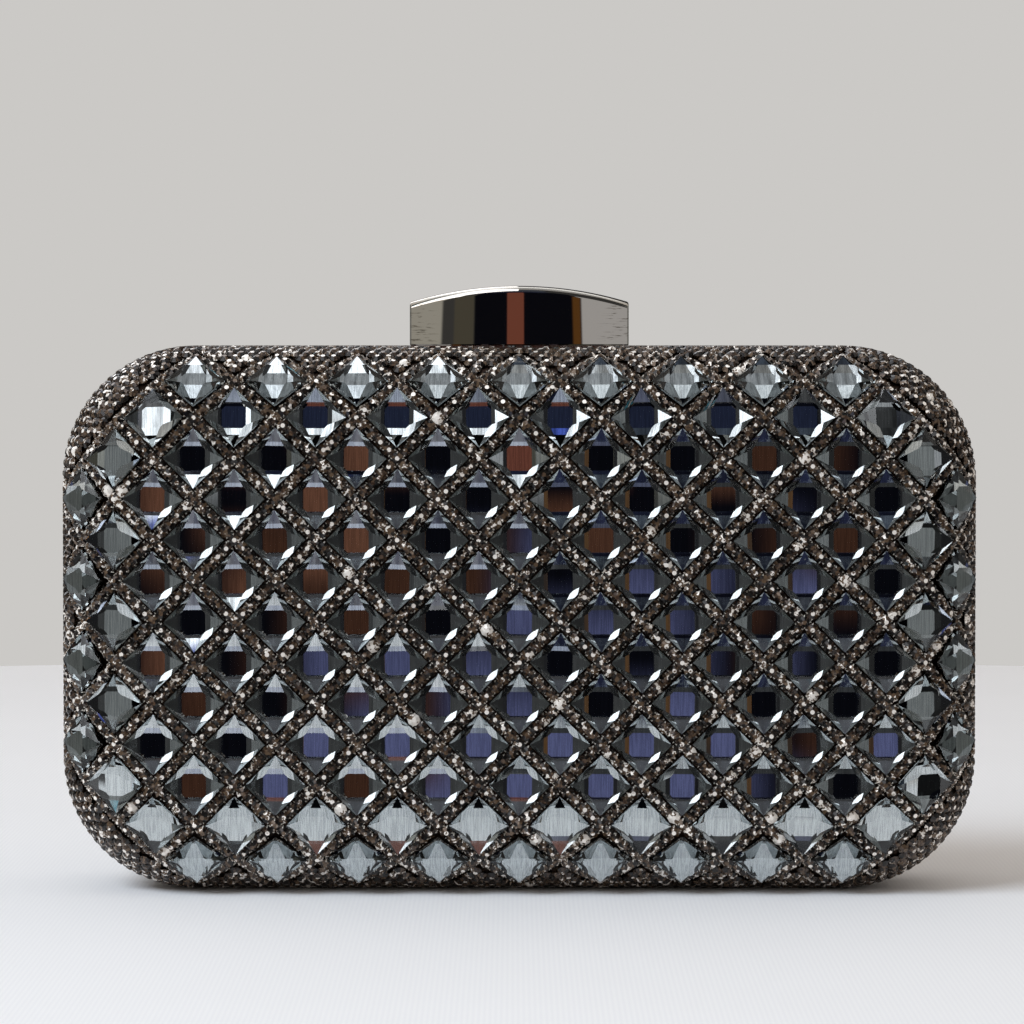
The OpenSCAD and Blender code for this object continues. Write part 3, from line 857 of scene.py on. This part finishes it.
def make_world():
    """Pale wall for the camera, soft light for the object, and a dark room with a window to mirror."""
    world = bpy.data.worlds.new("studio")
    bpy.context.scene.world = world
    world.use_nodes = True
    tree = world.node_tree
    tree.nodes.clear()
    way = add(tree, "TexCoord").outputs["Generated"]
    x, y, z = add(tree, "SeparateXYZ", {"Vector": way}).outputs
    # Degrees to the right and over the horizon; the room behind the case is the same as the one before it
    ahead = add(tree, "Math", {0: y}, operation="ABSOLUTE")
    turn = add(tree, "Math", {0: x, 1: ahead}, operation="ARCTAN2")
    az = add(tree, "Math", {0: turn, 1: DEGREE}, operation="MULTIPLY")
    rise = add(tree, "Math", {0: z}, operation="ARCSINE")
    el = add(tree, "Math", {0: rise, 1: DEGREE}, operation="MULTIPLY")

    def patch(az_low, az_high, el_low, el_high, soft):
        """Mask of a rectangle of the room, with soft edges."""
        mask = None
        for angle, edge, before in ((az, az_low, 0), (az, az_high, 1), (el, el_low, 0), (el, el_high, 1)):
            span = {"From Min": edge - soft, "From Max": edge + soft, "To Min": before, "To Max": 1 - before}
            side = add(tree, "MapRange", {"Value": angle, **span}, **SMOOTH)
            mask = add(tree, "Math", {0: mask, 1: side}, operation="MULTIPLY") if mask else side
        return mask

    def lay(room, mask, value, tint):
        """The room, with a light level laid over it through a mask."""
        return add(tree, "Mix", {0: mask, 6: room, 7: level(value, tint)}, **COLOURS).outputs[2]

    def over_sill(low, high):
        """Mask of what lies over the window's sloped sill."""
        sill = add(tree, "Math", {0: az, 1: SILL_SLOPE, 2: el}, operation="MULTIPLY_ADD")
        return add(tree, "MapRange", {"Value": sill, "From Min": low, "From Max": high}, **SMOOTH)

    # Rays that a stone or metal mirrors: the pale far walls, the ceiling, and what stands before them
    rearwards = add(tree, "MapRange", {"Value": y, "From Min": -0.1, "From Max": 0.1}, **SMOOTH)
    ceiling = lay(level(*CEILING_FRONT), rearwards, *CEILING_REAR)
    overhead = patch(*CEILING)
    room = add(tree, "Mix", {0: overhead, 6: level(*WALLS), 7: ceiling}, **COLOURS).outputs[2]
    for *edges, value, tint in ROOM:
        room = lay(room, patch(*edges), value, tint)
    fringed = {0: patch(*SILL_FRINGE_PATCH), 1: over_sill(*SILL_FRINGE_LOW)}
    room = lay(room, add(tree, "Math", fringed, operation="MULTIPLY"), *SILL_FRINGE)
    for *edges, value, tint in FRINGES:
        room = lay(room, patch(*edges), value, tint)
    high = add(tree, "Math", {0: patch(*WINDOW_HIGH), 1: over_sill(*SILL)}, operation="MULTIPLY")
    window = add(tree, "Math", {0: high, 1: patch(*WINDOW_LOW)}, operation="MAXIMUM")
    room = lay(room, window, *WINDOW)
    # Upright streaks, a sixth of a degree wide, over what the upper and lower facets mirror
    finer = add(tree, "Math", {0: az, 1: 6}, operation="MULTIPLY")
    upright = add(tree, "CombineXYZ", {0: finer, 1: el})
    noise = add(tree, "TexNoise", {"Vector": upright, "Scale": 1.0, "Detail": 2.0})
    streaks = add(tree, "MapRange", {"Value": noise, "From Min": 0.36, "From Max": 0.62}, **SMOOTH)
    dimmed = add(tree, "Math", {0: streaks, 1: 0.65, 2: 0.5}, operation="MULTIPLY_ADD")
    off_level = add(tree, "Math", {0: el}, operation="ABSOLUTE")
    steep = add(tree, "MapRange", {"Value": off_level, "From Min": 24, "From Max": 27}, **SMOOTH)
    grey = add(tree, "CombineColor", {0: dimmed, 1: dimmed, 2: dimmed})
    shine = add(tree, "Mix", {0: steep, 6: (1, 1, 1, 1), 7: grey}, **COLOURS).outputs[2]
    room = add(tree, "Mix", {0: 1.0, 6: room, 7: shine}, blend_type="MULTIPLY", **COLOURS).outputs[2]

    rays = add(tree, "LightPath").outputs
    glossy, through = rays["Is Glossy Ray"], rays["Is Transmission Ray"]
    mirrored = add(tree, "Math", {0: glossy, 1: through}, operation="MAXIMUM")
    seen = {0: rays["Is Camera Ray"], 6: level(*ROOM_LIGHT), 7: linear(WALL)}
    plain = add(tree, "Mix", seen, **COLOURS).outputs[2]
    colour = add(tree, "Mix", {0: mirrored, 6: plain, 7: room}, **COLOURS).outputs[2]
    light = add(tree, "Background", {"Color": colour, "Strength": 1.0})
    add(tree, "OutputWorld", {"Surface": light})


def make_lamp():
    """Soft daylight from the left; stones and metal mirror the room's window and not the lamp."""
    lamp = bpy.data.lights.new("softbox_left", "AREA")
    lamp.shape = "RECTANGLE"
    lamp.size, lamp.size_y = LAMP_SIZE
    lamp.energy = LAMP_WATTS
    lamp.color = LAMP_COLOUR
    obj = bpy.data.objects.new("softbox_left", lamp)
    bpy.context.scene.collection.objects.link(obj)
    obj.location = LAMP_PLACE
    way = Vector(LAMP_AIM) - Vector(LAMP_PLACE)
    obj.rotation_euler = way.to_track_quat("-Z", "Y").to_euler()
    obj.visible_glossy = False
    obj.visible_transmission = False


def rear_outline(bm):
    """Draws a loop of edges on the table, round the rear half as it lies when it is open."""
    radius = CORNER_R + SWING_ROOM
    verts = []
    for way_x, way_y in ((1, 1), (-1, 1), (-1, -1), (1, -1)):
        first = math.atan2(way_y, way_x) - TAU / 8
        for i in range(SWING_STEPS + 1):
            angle = first + TAU / 4 * i / SWING_STEPS
            x = way_x * CORNER_X + radius * math.cos(angle)
            y = CASE_H / 2 + way_y * CORNER_Z + radius * math.sin(angle)
            verts.append(bm.verts.new((x * MM, y * MM, 0)))
    for first_vert, second_vert in zip(verts, verts[1:] + verts[:1]):
        bm.edges.new((first_vert, second_vert))


def make_cloth():
    """Table cloth. A clutch is opened in the hand, so here a flap of the cloth gives way to the rear half."""
    cloth = cotton_cloth()
    bm = bmesh.new()
    bmesh.ops.create_circle(bm, segments=CLOTH_STEPS, radius=CLOTH_R * MM)
    rear_outline(bm)
    bmesh.ops.triangle_fill(bm, edges=bm.edges[:], use_beauty=True, normal=(0, 0, 1))
    finished("table_cloth", bm, cloth)
    bm = bmesh.new()
    rear_outline(bm)
    bmesh.ops.triangle_fill(bm, edges=bm.edges[:], use_beauty=True, normal=(0, 0, 1))
    flap = finished("table_cloth_flap", bm, cloth)
    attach(flap, "rear_half")


def make_stage():
    """Table cloth, room, lamp and camera."""
    make_cloth()
    make_world()
    make_lamp()
    camera = bpy.data.cameras.new("camera")
    camera.sensor_width = SENSOR
    camera.lens = LENS_PX / FRAME_PX * SENSOR
    obj = bpy.data.objects.new("camera", camera)
    bpy.context.scene.collection.objects.link(obj)
    back = FACE_Y - CAMERA_BACK * math.cos(CAMERA_RISE)
    rise = CASE_H / 2 + CAMERA_BACK * math.sin(CAMERA_RISE)
    obj.location = Vector((CAMERA_X, back, rise)) * MM
    obj.rotation_euler = (math.pi / 2 + CAMERA_PITCH, 0, 0)
    bpy.context.scene.camera = obj
    bpy.context.scene.view_settings.view_transform = "Standard"


def dress_cad_nodes():
    """Materials of the CAD nodes that stay."""
    # Lacquered brass pressing, dark bronze: it shows only as a dim line between the stones
    shell = brushed("dark_bronze_lacquer", "241B16", "3B2E27", 0.38, 0.5)
    # Drawn nickel-silver strip, satin brushed along its length
    rim = brushed("brushed_nickel_silver", "B9B2A8", "D8D2C8", 0.22, 0.25)
    # Cast and plated works of the clasp
    works = brushed("satin_nickel_plate", "A8A096", "C9C2B8", 0.28, 0.3)
    # Bright zinc-plated steel wire and rivets
    steel = brushed("bright_steel", "B4B6B9", "D9DBDE", 0.18, 0.2)
    # Nickel-plated brass hinge, rolled
    hinge = brushed("rolled_nickel_brass", "A99C84", "CBBFA6", 0.25, 0.3)
    lining = satin_lining()
    finishes = {
        "rivets": steel,
        "spring": steel,
        "pin": steel,
        "shell": shell,
        "frame": rim,
        "lining": lining,
        "hinge": hinge,
        "clasp": works,
    }
    for name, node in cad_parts.items():
        for word, mat in finishes.items():
            if word in name.split("_"):
                node.data.materials.clear()
                node.data.materials.append(mat)
                break


looks = {
    "glass": crystal_glass(),
    "foil": crystal_foil(),
    "bead": bead_glass(),
    "cup": bead_cup(),
    "prong": bead_prong(),
    "lever": polished_lever(),
}
make_stage()
dress_cad_nodes()
make_stones(looks)
lever = make_lever(looks)
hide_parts("clasp_lever")
